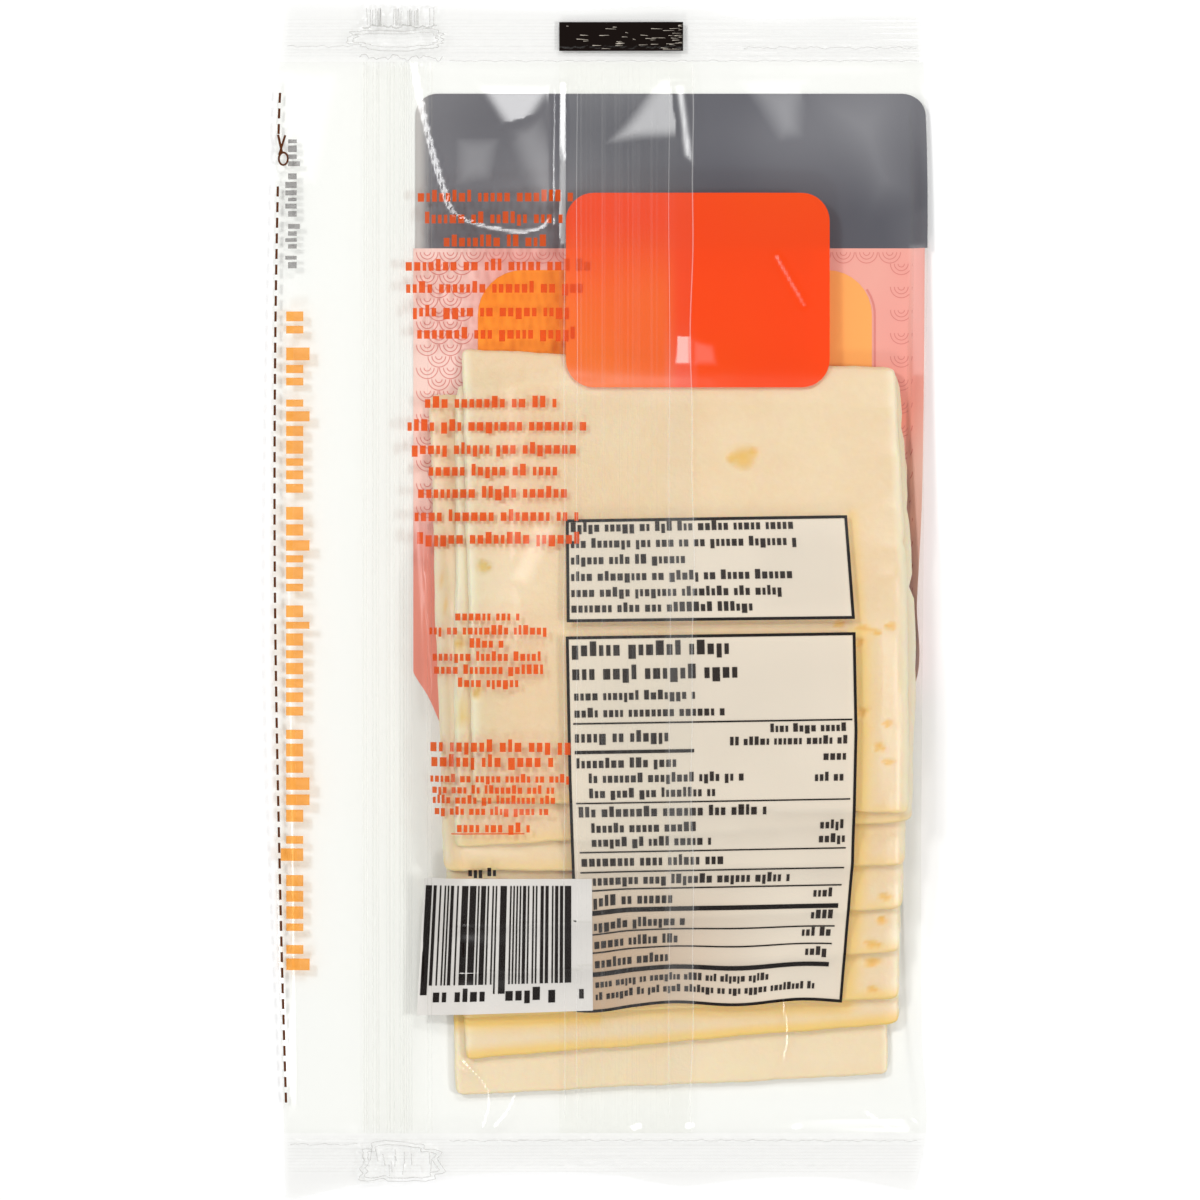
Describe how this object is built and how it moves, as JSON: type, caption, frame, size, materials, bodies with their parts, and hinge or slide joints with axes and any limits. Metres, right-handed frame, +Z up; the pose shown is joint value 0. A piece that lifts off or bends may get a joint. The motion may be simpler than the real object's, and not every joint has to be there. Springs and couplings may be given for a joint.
{
  "type": "pack of sliced cheese",
  "caption": "Sealed clear film pouch of shingled cheese slices with a press-close zipper, lying on its front.",
  "frame": {"origin": "middle of the pack's bounding box in plan, on the surface that it lies on", "axes": "+Y along the pack towards its top seal, +X across it with the zipper at -X, +Z up out of its back"},
  "size_m": [0.1361, 0.248, 0.0161],
  "materials": {
    "film": "clear glossy film over pale cheese",
    "zipper": "milky translucent strip",
    "cheese": "pale firm cheese, waxy and slightly moist",
    "slate_ink": "slate print on the film",
    "warm_ink": "pink, orange and red print on the film",
    "white_ink": "white print under the panels of small lines",
    "black_ink": "black rules, bars and dashes"
  },
  "bodies": {
    "root": {"pouch": "film", "zipper_band": "zipper"}
  },
  "joints": []
}
